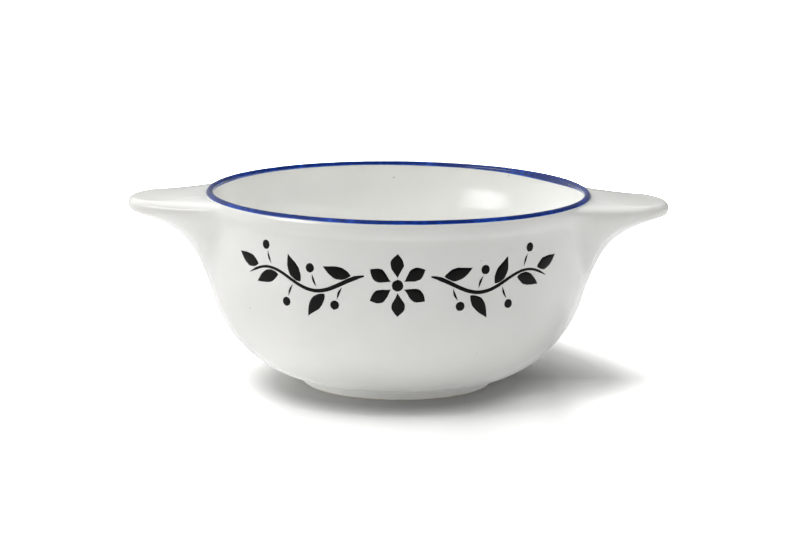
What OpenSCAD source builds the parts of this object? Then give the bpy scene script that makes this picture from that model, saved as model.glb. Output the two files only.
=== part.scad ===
// A lug bowl of tin glazed earthenware: a thrown bowl on a turned foot ring, with two flat
// ears luted to its wall, a white glaze inside and out, a blue line brushed over the lip and
// a black garland brushed on the front.
// The origin is the middle of the circle that the foot stands on. +X runs through the
// right ear, the front with the garland looks along -Y, and +Z is up.

/* [Bowl] */
// Diameter over the lip
bowl_d = 135; // [120:1:160]
// Height from the table to the top of the lip
bowl_h = 68; // [58:0.5:82]
// How far the lip stands out from the neck under it
lip_flare = 1.1; // [0.7:0.1:1.5]
// Height of the flared part, from the neck to the top of the lip
lip_rise = 8.5; // [7:0.5:10]
// Thickness of the lip
lip_t = 2.7; // [2.2:0.1:3.4]
// Height of the lip's rounded outside
lip_round = 3; // [2.4:0.1:3.6]
// How far the upright wall stands out from the neck
wall_swell = 0.15; // [0.1:0.05:0.3]
// Thickness of the wall
wall_t = 4; // [3.4:0.1:4.8]

/* [Belly] */
// Height at which the belly turns into the upright wall
belly_h = 44; // [38:0.5:50]
// How far the belly keeps level beside the foot
belly_low = 6.6; // [5:0.2:8.4]
// How far down the wall the belly keeps upright
belly_side = 29; // [24:0.5:34]
// Diameter of the flat floor inside
floor_d = 60; // [50:1:70]
// Thickness of the floor
floor_t = 4.8; // [4:0.1:5.8]
// How far the inside keeps level beside the floor
inside_low = 12; // [9:0.5:15]
// How far down the inside wall keeps upright
inside_side = 26; // [21:0.5:31]

/* [Foot] */
// Diameter of the foot at the table
foot_d = 66.2; // [56:0.2:76]
// Height of the foot
foot_h = 3.3; // [2.8:0.1:4.2]
// How far the top of the foot stands out past its bottom
foot_flare = 2.2; // [1.6:0.1:3]
// Width of the ring that touches the table
foot_w = 4.6; // [3.8:0.1:5.4]
// How much wider the ring is where it joins the bowl
foot_spread = 1.6; // [1:0.1:2.2]
// Height of the bare clay at the bottom of the foot
bare_h = 0.4; // [0.3:0.05:0.6]

/* [Ears] */
// How far an ear reaches past the lip
ear_l = 27; // [22:0.2:32]
// Width of an ear at the wall
ear_w = 60; // [50:1:70]
// Thickness of an ear at its tip
ear_t = 5; // [4:0.1:5.6]
// How far the top of an ear falls from the wall to the tip
ear_dip = 1.5; // [0.8:0.1:2]
// How far an ear's underside runs down the wall
ear_drop = 32; // [25:0.5:37]
// Height left free between the blue line and an ear
ear_set = 0.3; // [0.2:0.05:0.5]

/* [Glaze and paint] */
// Thickness of the white glaze
glaze_t = 0.3; // [0.22:0.01:0.38]
// Thickness of the brushed colours
paint_t = 0.12; // [0.09:0.01:0.15]
// How far the blue line comes down outside
line_out = 1.15; // [0.9:0.05:1.5]
// How far the blue line comes down inside
line_in = 1.3; // [1:0.05:1.7]

/* [Garland] */
// Length of the garland, measured along the wall
garland_l = 112; // [90:1:134]
// Height of the garland's middle above the table
garland_z = 46.5; // [40:0.5:50]
// Height of the stem's waves, from crest to trough
wave_h = 6; // [5:0.5:7.5]
// Width of the stem's brush line
stem_w = 1.5; // [1.2:0.1:1.8]
// Length of a leaf
leaf_l = 10; // [8.5:0.5:12]
// Width of a leaf
leaf_w = 4.2; // [3.4:0.1:5]
// Diameter of a berry
berry_d = 3.1; // [2.5:0.1:3.7]
// Length of a berry's stalk
stalk_l = 4.4; // [3.6:0.1:5.2]
// Length of a petal
petal_l = 8; // [6.5:0.5:9.5]
// Width of a petal
petal_w = 4.4; // [3.5:0.1:5.2]
// Diameter of the flower's eye
eye_d = 3.8; // [3:0.1:4.6]
// Space left between two brush strokes
stroke_gap = 0.6; // [0.5:0.05:0.8]

/* [Hidden] */
$fn = 180;

// Steps along each curve of the section
belly_steps = 22;
wall_steps = 6;
flare_steps = 8;
round_steps = 7;
// Stations across an ear, steps around its edge and along each of its faces
ear_stations = 28;
nose_steps = 6;
top_steps = 5;
under_steps = 9;
root_steps = 16;
// How much of the lip's thickness lies outside its top
crown_share = 0.65;
// How much of the ear's width is built; the rest is thinner than the glaze
ear_used_share = 0.95;
// Least run of an ear's top before its edge turns down, and least depth of its section
least_run = 0.1;
least_depth = 0.04;
// How quickly an ear narrows, thins and rises towards its sides, and how blunt its tip is
narrow_power = 1.9;
blunt_power = 1.12;
thin_power = 0.5;
rise_power = 0.5;
// How much closer the steps along an ear's root are towards the lip
root_power = 1.4;
// Thickness at an ear's sides, as a share of its tip
ear_side_share = 1.1;
// How far the nose of an ear reaches back, as a share of its thickness
nose_share = 0.42;
// Handles of the curve under an ear, along its reach and its drop
under_in_share = 0.6;
under_fall_share = 0.18;
under_rise_share = 0.75;
// How far that curve leans off the wall where it leaves it, as a share of its rise
under_out_share = 0.03;
// Turns of the garland's wave, and its leaves and berries
waves = 3;
leaves = 10;
berries = 8;
petals = 6;
leaf_steps = 9;
berry_steps = 20;
stem_steps = 60;
// A leaf is widest near its foot and a petal near its tip
leaf_power = 0.8;
petal_power = 1.25;
// How far a berry's stalk stands past the leaf opposite it, as a share of the leaves' spacing
berry_share = 0.33;
// How far a leaf and a stalk lean away from the stem
leaf_lean = 38;
stalk_lean = 68;
// How far a cutter runs past what it cuts
overrun = 1;

// The clay, which is the finished size less the glaze
lip_r = bowl_d / 2 - glaze_t;
crest_z = bowl_h - glaze_t;
neck_r = lip_r - lip_flare;
neck_z = bowl_h - lip_rise;
wall_r = neck_r + wall_swell;
lip_clay = lip_t - 2 * glaze_t;
wall_clay = wall_t - 2 * glaze_t;
foot_r = foot_d / 2 - glaze_t;
joint_r = foot_r + foot_flare;
joint_z = foot_h + glaze_t;
floor_z = joint_z + floor_t;

function bezier(a, b, c, d, t) =
    pow(1 - t, 3) * a + 3 * pow(1 - t, 2) * t * b + 3 * (1 - t) * t * t * c + pow(t, 3) * d;
function curve(a, b, c, d, steps) = [for (i = [1 : steps]) bezier(a, b, c, d, i / steps)];
// A curve that leaves and arrives upright
function upright(a, d, steps) =
    curve(a, [a.x, (a.y + d.y) / 2], [d.x, (a.y + d.y) / 2], d, steps);
function arc(middle, radii, from, to, steps) =
    [for (i = [1 : steps]) let (a = from + (to - from) * i / steps)
        middle + [radii.x * cos(a), radii.y * sin(a)]];
function backwards(line) = [for (i = [len(line) - 1 : -1 : 0]) line[i]];
// A line moved sideways by d, to the right of its run
function beside(line, d) = [for (i = [0 : len(line) - 1])
    let (a = line[max(i - 1, 0)], b = line[min(i + 1, len(line) - 1)], t = (b - a) / norm(b - a))
        line[i] + d * [t.y, -t.x]];
function radius_at(line, z) = lookup(z, [for (p = line) [p.y, p.x]]);

// The clay's section, from the foot up the outside, over the lip and down to the floor
lip_out = lip_clay * crown_share;
lip_in = lip_clay - lip_out;
lip_drop = lip_round - glaze_t;
outside = concat(
    [[joint_r, joint_z]],
    curve([joint_r, joint_z], [joint_r + belly_low, joint_z],
        [wall_r, belly_h - belly_side], [wall_r, belly_h], belly_steps),
    upright([wall_r, belly_h], [neck_r, neck_z], wall_steps),
    upright([neck_r, neck_z], [lip_r, crest_z - lip_drop], flare_steps),
    arc([lip_r - lip_out, crest_z - lip_drop], [lip_out, lip_drop], 0, 90, round_steps));
inside = concat(
    arc([lip_r - lip_out, crest_z - lip_in], [lip_in, lip_in], 90, 180, round_steps),
    upright([lip_r - lip_clay, crest_z - lip_in], [wall_r - wall_clay, belly_h], flare_steps),
    curve([wall_r - wall_clay, belly_h], [wall_r - wall_clay, belly_h - inside_side],
        [floor_d / 2 + inside_low, floor_z], [floor_d / 2, floor_z], belly_steps),
    [[0, floor_z]]);
clay = concat(outside, inside);
crest = len(outside) - 1;

// The glaze's outer face, with the foot's side in place of the first point
coat = beside(clay, glaze_t);
foot_corner = [joint_r + glaze_t, joint_z - glaze_t];
function foot_side(z) = foot_r + foot_flare * z / joint_z;
coat_out = concat(
    [[foot_side(bare_h) + glaze_t, bare_h], foot_corner],
    [for (i = [1 : crest]) if (coat[i].x > foot_corner.x) coat[i]]);
coat_in = [for (i = [crest : len(coat) - 1]) coat[i]];

module turned(section) {
    rotate_extrude() polygon(section);
}

// Thrown bowl, from the joint with the foot to the lip
module bowl_body() {
    color("#d9c3a5") turned(concat(clay, [[0, joint_z]]));
}

// Foot ring under the bowl
module foot_ring() {
    inner = foot_r - foot_w;
    color("#d2bb9c") turned([[inner, 0], [foot_r, 0], [joint_r, joint_z],
        [inner - foot_spread, joint_z]]);
}

// An ear is a row of sections across its width. Each section is a line that leaves the wall
// along the ear's top, goes round its edge and comes back underneath.
ear_top = bowl_h - line_out - ear_set;
ear_half_angle = asin(ear_w / 2 / wall_r);
function across(i) = ear_used_share * (2 * i / ear_stations - 1);
function swell(u) = pow(cos(90 * pow(abs(u), blunt_power)), narrow_power);
function ear_edge(b) = ear_t * (ear_side_share + (1 - ear_side_share) * pow(b, thin_power));
// The section's line, set in by the glaze for the clay and not at all for the glazed ear
function ear_line(b, set_in) =
    let (
        edge = ear_edge(b),
        root = radius_at(outside, ear_top) + glaze_t,
        reach = root + (lip_r + glaze_t + ear_l - root) * b - set_in,
        root_top = ear_top - set_in,
        half = edge / 2 - set_in,
        nose_z = ear_top - ear_dip * pow(b, thin_power) - edge / 2,
        nose_r = nose_share * edge - set_in,
        root_low = ear_top - edge - ear_drop * pow(b, rise_power) + set_in,
        skin = glaze_t - set_in,
        top_start = [radius_at(outside, root_top) + skin, root_top],
        low_end = [radius_at(outside, root_low) + skin, root_low],
        middle = [max(reach - nose_r, top_start.x + least_run), nose_z],
        top_end = middle + [0, half],
        top_run = (top_end.x - top_start.x) / 3,
        slope = atan2((middle.y - low_end.y) * under_fall_share,
            max(middle.x - low_end.x, least_run) * under_in_share),
        low_start = middle + [(reach - middle.x) * sin(slope), -half * cos(slope)],
        run = low_start.x - low_end.x,
        fall = low_start.y - low_end.y,
        lead = norm([run * under_in_share, fall * under_fall_share]),
        lean = (radius_at(outside, root_low + half) - radius_at(outside, root_low)) / half,
        free = concat(
            curve(top_start, top_start + [top_run, 0], top_end - [top_run, 0], top_end, top_steps),
            arc(middle, [reach - middle.x, half], 90, slope - 90, nose_steps),
            curve(low_start, low_start - lead * [cos(slope), sin(slope)],
                low_end + fall * under_rise_share * [lean + under_out_share, 1], low_end,
                under_steps)),
        clear = [for (i = [0 : len(free) - 2]) let (p = free[i])
            [max(p.x, radius_at(outside, p.y) + skin + least_depth), p.y]]
    )
    concat([top_start], clear, [low_end]);
function turn_out(p, angle) = [p.x * cos(angle), p.x * sin(angle), p.y];
// The way back up along the clay wall, in steps that grow shorter towards the lip
function root_line(low, top, steps) = [for (i = [steps - 1 : -1 : 1])
    let (z = top - (top - low) * pow(i / steps, root_power)) [radius_at(outside, z), z]];
function clay_ring(u) =
    let (line = ear_line(swell(u), glaze_t), low = line[len(line) - 1], top = line[0])
        concat(line, root_line(low.y, top.y, root_steps));
function glaze_ring(u) =
    let (skin = ear_line(swell(u), 0), clay_line = ear_line(swell(u), glaze_t),
        low = skin[len(skin) - 1], top = skin[0])
        concat([[radius_at(outside, top.y), top.y]], skin, [[radius_at(outside, low.y), low.y]],
            backwards(clay_line));

// A solid through a row of closed rings. From the turned point on, its faces are split along
// the other diagonal, so that two solids that share points there share faces too.
module loft(rings, turned_from) {
    n = len(rings);
    m = len(rings[0]);
    sides = [for (i = [0 : n - 2]) for (j = [0 : m - 1])
        let (a = i * m + j, b = i * m + (j + 1) % m, c = a + m, d = b + m)
            each (j < turned_from ? [[a, c, b], [b, c, d]] : [[a, c, d], [a, d, b]])];
    start = [for (j = [0 : m - 1]) j];
    end = [for (j = [m - 1 : -1 : 0]) (n - 1) * m + j];
    polyhedron([for (r = rings) each r], concat(sides, [start, end]));
}

module ear_clay() {
    rings = [for (i = [0 : ear_stations]) let (u = across(i))
        [for (p = clay_ring(u)) turn_out(p, u * ear_half_angle)]];
    loft(rings, len(rings[0]));
}

module ear_skin() {
    rings = [for (i = [0 : ear_stations]) let (u = across(i))
        [for (p = glaze_ring(u)) turn_out(p, u * ear_half_angle)]];
    loft(rings, len(rings[0]) / 2);
}

// The window that an ear leaves in the wall's glaze
module ear_window() {
    near = radius_at(outside, ear_top - ear_t - ear_drop) - overrun;
    far = lip_r + glaze_t + overrun;
    rings = [for (i = [0 : ear_stations])
        let (u = across(i), line = ear_line(swell(u), 0), top = line[0].y,
            low = line[len(line) - 1].y)
        [for (p = [[near, top], [far, top], [far, low], [near, low]])
            turn_out(p, u * ear_half_angle)]];
    loft(rings, len(rings[0]));
}

// Left ear, of pressed clay
module left_ear() {
    color("#d9c3a5") rotate([0, 0, 180]) ear_clay();
}

// Right ear, of pressed clay
module right_ear() {
    color("#d9c3a5") ear_clay();
}

// White glaze on the outside of the wall and the foot
module outer_glaze() {
    color("#eeeeea") difference() {
        turned(concat([[foot_side(bare_h), bare_h]], [for (i = [0 : crest]) clay[i]],
            backwards(coat_out)));
        ear_window();
        rotate([0, 0, 180]) ear_window();
    }
}

// White glaze on the inside, from the top of the lip to the floor
module inner_glaze() {
    color("#f1f1ed") turned(concat([for (i = [crest : len(clay) - 1]) clay[i]],
        backwards(coat_in)));
}

// White glaze on the left ear
module left_ear_glaze() {
    color("#eeeeea") rotate([0, 0, 180]) ear_skin();
}

// White glaze on the right ear
module right_ear_glaze() {
    color("#eeeeea") ear_skin();
}

// A stretch of the glaze's face between two heights, as a thin section for the brushed colours
function painted(line) = concat(line, backwards(beside(line, paint_t)));

// Blue line over the lip
module rim_line() {
    low_out = bowl_h - line_out;
    low_in = bowl_h - line_in;
    band = concat(
        [[radius_at(coat_out, low_out), low_out]],
        [for (p = coat_out) if (p.y > low_out) p],
        [for (i = [1 : len(coat_in) - 1]) if (coat_in[i].y > low_in) coat_in[i]],
        [[radius_at(coat_in, low_in), low_in]]);
    color("#1d3f86") turned(painted(band));
}

// The garland is drawn flat, in lengths along the wall and heights over the table, and is
// then wrapped onto the wall's front.
coat_r = wall_r + glaze_t;
function wrapped(p) = let (a = p.x / coat_r * 180 / PI) [coat_r * sin(a), p.y];
function turned_by(p, a) = [p.x * cos(a) - p.y * sin(a), p.x * sin(a) + p.y * cos(a)];
function stem_at(x) =
    garland_z + wave_h / 2 * sin(360 * waves * abs(x) / garland_l);
function stem_slope(x) =
    let (d = garland_l / stem_steps) atan((stem_at(x + d) - stem_at(x - d)) / (2 * d));

module brushed() {
    reach = lip_r + overrun;
    low = joint_z + overrun;
    face = [for (p = coat_out) if (p.y > low && p.y < neck_z) p];
    intersection() {
        turned(painted(face));
        rotate([90, 0, 0]) linear_extrude(reach) children();
    }
}

// A pointed stroke from a point, that swells to its width and tapers again
module stroke(start, angle, l, w, power) {
    side = [for (i = [0 : leaf_steps]) let (t = i / leaf_steps)
        [l * t, w / 2 * sin(180 * pow(t, power))]];
    under = [for (i = [leaf_steps - 1 : -1 : 1]) [side[i].x, -side[i].y]];
    polygon([for (p = concat(side, under)) wrapped(start + turned_by(p, angle))]);
}

// The two halves of the stem leave room for the flower between them
flower_r = eye_d / 2 + stroke_gap + petal_l;
stem_start = flower_r + stroke_gap;
stem_end = garland_l / 2;
function along(share) = stem_start + (stem_end - stem_start) * share;
function stem_half(share) = stem_w / 2 * (1 - share / 2);

module stem_side(side) {
    line = [for (i = [0 : stem_steps]) along(i / stem_steps)];
    upper = [for (i = [0 : stem_steps]) [line[i], stem_at(line[i]) + stem_half(i / stem_steps)]];
    lower = [for (i = [stem_steps : -1 : 0])
        [line[i], stem_at(line[i]) - stem_half(i / stem_steps)]];
    polygon([for (p = concat(upper, lower)) wrapped([side * p.x, p.y])]);
}

// Leaves stand along each half of the stem, above and below it by turns
per_side = leaves / 2;
function leaf_x(i) = along((i + 1 / 2) / per_side);
function leaf_up(i) = i % 2 == 0 ? 1 : -1;

module garland_leaves() {
    color("#12130f") brushed() for (side = [-1, 1]) for (i = [0 : per_side - 1]) {
        x = leaf_x(i);
        up = leaf_up(i);
        out = stem_w / 2 + stroke_gap;
        angle = stem_slope(x) + up * leaf_lean;
        start = [x, stem_at(x) + up * out];
        stroke([side * start.x, start.y], side > 0 ? angle : 180 - angle, leaf_l, leaf_w,
            leaf_power);
    }
}

// Stems with the berries' stalks
per_side_berries = berries / 2;
function berry_x(i) = along((i + 1 / 2 + berry_share) / per_side);
function berry_up(i) = -leaf_up(i);
function berry_root(i) =
    [berry_x(i), stem_at(berry_x(i)) + berry_up(i) * (stem_w / 2 + stroke_gap)];
function berry_way(i) = berry_up(i) * stalk_lean;
function berry_place(i) = berry_root(i)
    + (stalk_l + stroke_gap + berry_d / 2) * [cos(berry_way(i)), sin(berry_way(i))];

module garland_stem() {
    color("#12130f") brushed() for (side = [-1, 1]) {
        stem_side(side);
        for (i = [0 : per_side_berries - 1]) {
            root = berry_root(i);
            stroke([side * root.x, root.y], side > 0 ? berry_way(i) : 180 - berry_way(i),
                stalk_l, stem_w / 2, 1);
        }
    }
}

module garland_berries() {
    color("#12130f") brushed() for (side = [-1, 1]) for (i = [0 : per_side_berries - 1]) {
        place = berry_place(i);
        polygon([for (k = [0 : berry_steps - 1]) let (a = 360 * k / berry_steps)
            wrapped([side * place.x, place.y] + berry_d / 2 * [cos(a), sin(a)])]);
    }
}

// Flower in the middle of the garland
module garland_flower() {
    middle = [0, garland_z];
    color("#12130f") brushed() {
        polygon([for (k = [0 : berry_steps - 1]) let (a = 360 * k / berry_steps)
            wrapped(middle + eye_d / 2 * [cos(a), sin(a)])]);
        for (k = [0 : petals - 1]) {
            a = 90 + 360 * k / petals;
            stroke(middle + (eye_d / 2 + stroke_gap) * [cos(a), sin(a)], a, petal_l, petal_w,
                petal_power);
        }
    }
}

bowl_body();
foot_ring();
left_ear();
right_ear();
outer_glaze();
inner_glaze();
left_ear_glaze();
right_ear_glaze();
rim_line();
garland_stem();
garland_leaves();
garland_berries();
garland_flower();
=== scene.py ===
# %% [markdown]
# # A bowl with two ears, in white tin glaze
# The bowl is thrown on a wheel, the ears are pressed from slabs and stuck to its wall with
# wet clay. It is dipped in white glaze, and blue and black colours are brushed on the glaze
# before the last firing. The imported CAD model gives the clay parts, and this lesson dresses
# them: a smooth glaze coat, a brushed line over the lip and a brushed garland in front.

# %% Frame
import math
from bisect import bisect_left
import bmesh
import bpy
from mathutils import Matrix, Vector, noise


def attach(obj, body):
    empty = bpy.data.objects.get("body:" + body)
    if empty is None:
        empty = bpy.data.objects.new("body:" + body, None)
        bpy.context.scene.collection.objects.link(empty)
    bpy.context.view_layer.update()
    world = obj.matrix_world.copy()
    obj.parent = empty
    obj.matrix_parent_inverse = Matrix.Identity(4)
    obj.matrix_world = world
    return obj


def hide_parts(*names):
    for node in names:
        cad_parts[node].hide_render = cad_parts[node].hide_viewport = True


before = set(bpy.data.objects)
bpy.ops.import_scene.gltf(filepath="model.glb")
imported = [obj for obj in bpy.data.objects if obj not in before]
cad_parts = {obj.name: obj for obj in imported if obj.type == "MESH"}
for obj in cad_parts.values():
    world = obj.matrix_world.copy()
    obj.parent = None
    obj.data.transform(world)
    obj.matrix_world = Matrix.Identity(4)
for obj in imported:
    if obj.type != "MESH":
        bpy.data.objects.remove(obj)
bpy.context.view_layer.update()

MM = 0.001

# %% [markdown]
# ## Camera
# The photograph is taken from in front and a little above, from almost a metre away with a
# long lens, which keeps the ellipse of the lip flat. The camera's place and its tilt were
# found by matching that ellipse and the bowl's outline. The camera is made first, because
# everything is judged through it.

# %% Camera
camera_back, camera_up = 0.9659, 0.2219
camera_tilt, camera_roll = 90 - 10.64, 0.6
camera_data = bpy.data.cameras.new("camera")
camera_data.sensor_width = 36
camera_data.lens = 126
camera_data.shift_x = 0.0028
camera = bpy.data.objects.new("camera", camera_data)
bpy.context.scene.collection.objects.link(camera)
camera.matrix_world = (Matrix.Translation((0, -camera_back, camera_up))
                       @ Matrix.Rotation(math.radians(camera_tilt), 4, "X")
                       @ Matrix.Rotation(math.radians(camera_roll), 4, "Z"))
bpy.context.scene.camera = camera
bpy.context.scene.view_settings.view_transform = "Standard"
print("camera stands", round(camera.matrix_world.translation.length, 3), "m away")

# %% [markdown]
# ## One function for nodes and one for colours
# Every material below is a small tree of nodes. A single function makes a node, sets its
# values and joins its inputs, so each tree reads from the pattern to the surface. Colours
# are written the way a paint program shows them and are turned to the linear values that
# the renderer counts in.

# %% Nodes and colours
def linear(code):
    """Turns a colour written as six hex digits into linear red, green, blue and alpha."""
    parts = [int(code[i:i + 2], 16) / 255 for i in (0, 2, 4)]
    return [p / 12.92 if p <= 0.04045 else ((p + 0.055) / 1.055) ** 2.4 for p in parts] + [1]


def add_node(tree, kind, inputs=None, **settings):
    """Adds a node. Its inputs go by name or number, each with a value, an output to join, or
    another node, which is joined by its first output."""
    made = tree.nodes.new(kind)
    for name, value in settings.items():
        setattr(made, name, value)
    for socket, value in (inputs or {}).items():
        if isinstance(value, bpy.types.Node):
            value = value.outputs[0]
        if isinstance(value, bpy.types.NodeSocket):
            tree.links.new(value, made.inputs[socket])
        else:
            made.inputs[socket].default_value = value
    return made


def new_material(name):
    """An empty material; its tree and its output are returned with it."""
    material = bpy.data.materials.new(name)
    material.use_nodes = True
    material.node_tree.nodes.clear()
    output = material.node_tree.nodes.new("ShaderNodeOutputMaterial")
    return material, material.node_tree, output


print("pale glaze, linear:", [round(v, 3) for v in linear("f8f8f5")])

# %% [markdown]
# ## Light
# A white tent, as for a catalogue: a wide softbox overhead, a window on the left, a smaller
# box behind on the left that lights the inside of the bowl, and a fill on the right. White
# glaze shows its form only by small steps of tone, so no lamp may burn it out. The overhead
# box also lights the card under the bowl, and the card lights the belly, which no lamp
# reaches. Four lamps would leave four patches of shine, and the real glaze shows one, a
# streak along the lip's shoulder and the ears. So the gloss doesn't see these lamps.

# %% Lamps
def soft_lamp(name, place, aim, width, height, power):
    """A rectangular lamp at a place, turned to a point."""
    data = bpy.data.lights.new(name, "AREA")
    data.shape = "RECTANGLE"
    data.size = width
    data.size_y = height
    data.energy = power
    lamp = bpy.data.objects.new(name, data)
    bpy.context.scene.collection.objects.link(lamp)
    turn = (Vector(aim) - Vector(place)).to_track_quat("-Z", "Y").to_matrix().to_4x4()
    lamp.matrix_world = Matrix.Translation(place) @ turn
    return lamp


bowl_middle = (0, 0, 0.05)
for name, place, width, power in (("overhead", (0, 0, 1.2), 1.2, 5.0),
                                  ("window", (-0.36, -0.16, 0.95), 0.6, 4.6),
                                  ("behind_left", (-0.6, 0.5, 0.7), 0.6, 3.6),
                                  ("fill_right", (0.7, 0, 0.8), 0.6, 2.6)):
    soft_lamp(name, place, bowl_middle, width, width, power).visible_glossy = False

# %% [markdown]
# ## One patch of shine
# The streak comes from a card on the left, which only the gloss sees. Its light fades from
# its middle to its edges, so that no hard-edged patch shows on the inside of the bowl.

# %% Shine card
lip_middle = (0, 0, 0.06)
shine = soft_lamp("shine_card", (-0.8, -0.4, 0.3), lip_middle, 0.9, 0.45, 3.8)
shine.visible_diffuse = False
shine.data.use_nodes = True
tree = shine.data.node_tree
on_card = add_node(tree, "ShaderNodeNewGeometry")
from_middle = add_node(tree, "ShaderNodeVectorMath",
                       {0: on_card.outputs["Parametric"], 1: (0.5, 0.5, 0.0)},
                       operation="DISTANCE")
fade = add_node(tree, "ShaderNodeMapRange",
                {"Value": from_middle.outputs["Value"], "From Min": 0.05, "From Max": 0.5,
                 "To Min": 2.2, "To Max": 0.0}, interpolation_type="SMOOTHSTEP")
glow = tree.nodes["Emission"]
glow.inputs["Color"].default_value = linear("ffffff")
tree.links.new(fade.outputs[0], glow.inputs["Strength"])
print("shine card fades with", len(tree.nodes), "nodes")

# %% [markdown]
# ## The walls of the tent
# The world stands for the walls. The left one is bright, the one behind is faint, and the
# right side is open to a dark room. The camera itself sees the world as plain white.

# %% World
world = bpy.data.worlds.new("room")
bpy.context.scene.world = world
world.use_nodes = True
sky = world.node_tree
sky.nodes.clear()
seen = add_node(sky, "ShaderNodeLightPath")
plain = add_node(sky, "ShaderNodeBackground", {"Color": linear("ffffff"), "Strength": 1.0})
way = add_node(sky, "ShaderNodeTexCoord")
way_parts = add_node(sky, "ShaderNodeSeparateXYZ", {0: way.outputs["Generated"]})
side_light = add_node(sky, "ShaderNodeMapRange",
                      {"Value": way_parts.outputs["X"], "From Min": -1.0, "From Max": 0.05,
                       "To Min": 0.61, "To Max": 0.03})
back_light = add_node(sky, "ShaderNodeMapRange",
                      {"Value": way_parts.outputs["Y"], "From Min": 0.0, "From Max": 1.0,
                       "To Min": 0.0, "To Max": 0.17})
room_light = add_node(sky, "ShaderNodeMath", {0: side_light, 1: back_light},
                      operation="ADD")
room = add_node(sky, "ShaderNodeBackground",
                {"Color": linear("fdfcfa"), "Strength": room_light})
choice = add_node(sky, "ShaderNodeMixShader",
                  {0: seen.outputs["Is Camera Ray"], 1: room, 2: plain})
add_node(sky, "ShaderNodeOutputWorld", {"Surface": choice})
print("world has", len(sky.nodes), "nodes")

# %% [markdown]
# ## Floor
# White card under the bowl. It throws light back up at the belly, which is why the belly
# isn't black, and it carries the shadow. It is a disc so wide that no edge of it shows.

# %% Floor
floor_mesh = bpy.data.meshes.new("floor")
shape = bmesh.new()
bmesh.ops.create_circle(shape, cap_ends=True, radius=6, segments=96)
shape.to_mesh(floor_mesh)
shape.free()
floor = bpy.data.objects.new("floor", floor_mesh)
bpy.context.scene.collection.objects.link(floor)
print("floor faces:", len(floor_mesh.polygons))

# %% [markdown]
# ## The card, as the camera sees it
# In a catalogue the card is printed whiter than it is, and only the core of the shadow is
# left. So to the camera alone the card's tone is multiplied by a few gains that change from
# place to place, and these paint light and shadow into it. Painted light rises far out, where
# the lamps don't reach, and to both sides, where it lifts the long shadows. A painted shadow
# falls round the foot, and falls again at the foot's right side towards the back, where the
# shadow is deepest. Places are in metres from the bowl's axis.

# %% Card to the camera
card, tree, output = new_material("white card, matt")
card_place = add_node(tree, "ShaderNodeTexCoord").outputs["Object"]
card_side = add_node(tree, "ShaderNodeSeparateXYZ", {0: card_place})
card_far = add_node(tree, "ShaderNodeVectorMath", {0: card_place}, operation="LENGTH")
# painted shadow behind the foot's right side, down to 0.6, and painted light in front of it, up
# to 1.2
card_shadow_core_gain = add_node(tree, "ShaderNodeMapRange",
                     {"Value": card_side.outputs["Y"], "From Min": -0.03, "From Max": 0.005,
                      "To Min": 1.2, "To Max": 0.6})
card_right = add_node(tree, "ShaderNodeMapRange",
                      {"Value": card_side.outputs["X"], "From Min": 0.025, "From Max": 0.045})
card_close = add_node(tree, "ShaderNodeMapRange",
                      {"Value": card_far.outputs["Value"], "From Min": 0.075, "From Max": 0.1,
                       "To Min": 1.0, "To Max": 0.0})
card_where = add_node(tree, "ShaderNodeMath", {0: card_right, 1: card_close},
                      operation="MULTIPLY")
card_painted_shadow_core = add_node(tree, "ShaderNodeMix", {0: card_where, 2: 1.0, 3: card_shadow_core_gain},
                     data_type="FLOAT")
card_shade = card_painted_shadow_core
# painted light far out and to both sides, painted shadow round the foot
for ruler, begin, stop, gain_before, gain_after in (
        (card_far.outputs["Value"], 0.15, 0.9, 1.0, 4.0),       # far out
        (card_side.outputs["X"], 0.055, 0.095, 1.0, 2.1),       # right
        (card_side.outputs["X"], -0.07, -0.035, 1.6, 1.0),      # left
        (card_far.outputs["Value"], 0.042, 0.058, 0.59, 1.0)):  # round the foot
    gain = add_node(tree, "ShaderNodeMapRange",
                    {"Value": ruler, "From Min": begin, "From Max": stop,
                     "To Min": gain_before, "To Max": gain_after})
    card_shade = add_node(tree, "ShaderNodeMath", {0: card_shade, 1: gain},
                          operation="MULTIPLY")
card_seen = add_node(tree, "ShaderNodeBsdfDiffuse", {"Color": card_shade})
print("card to the camera:", len(tree.nodes), "nodes")

# %% [markdown]
# ## The card, as the bowl sees it
# To the bowl the card is plain white, and a little duller far out on the left, so that the
# underside of the left ear lies in a soft shade. Round the foot the card gives a faint painted
# glow, like a photographer's lit table, though it is no lamp, so the belly's underside isn't
# lost in its own shadow. The glow is stronger on the left, the side that faces the window.

# %% Card to the bowl
card_dull = add_node(tree, "ShaderNodeMapRange",
                     {"Value": card_side.outputs["X"], "From Min": -0.12, "From Max": -0.06,
                      "To Min": 0.82, "To Max": 0.92})
card_face = add_node(tree, "ShaderNodeBsdfDiffuse", {"Color": card_dull})
card_near = add_node(tree, "ShaderNodeMapRange",
                     {"Value": card_far.outputs["Value"], "From Min": 0.042, "From Max": 0.066,
                      "To Min": 0.15, "To Max": 0.0})
card_more = add_node(tree, "ShaderNodeMapRange",
                     {"Value": card_side.outputs["X"], "From Min": -0.05, "From Max": 0.0,
                      "To Min": 2.1, "To Max": 1.0})
card_power = add_node(tree, "ShaderNodeMath", {0: card_near, 1: card_more},
                      operation="MULTIPLY")
# painted glow: the card is no lamp, and only the bowl sees this light
card_glow = add_node(tree, "ShaderNodeEmission",
                     {"Color": linear("ffffff"), "Strength": card_power})
card_lit = add_node(tree, "ShaderNodeAddShader", {0: card_face, 1: card_glow})
card_path = add_node(tree, "ShaderNodeLightPath")
card_mix = add_node(tree, "ShaderNodeMixShader",
                    {0: card_path.outputs["Is Camera Ray"], 1: card_lit, 2: card_seen})
tree.links.new(card_mix.outputs[0], output.inputs["Surface"])
floor_mesh.materials.append(card)
print(card.name, "has", len(tree.nodes), "nodes")

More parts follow.
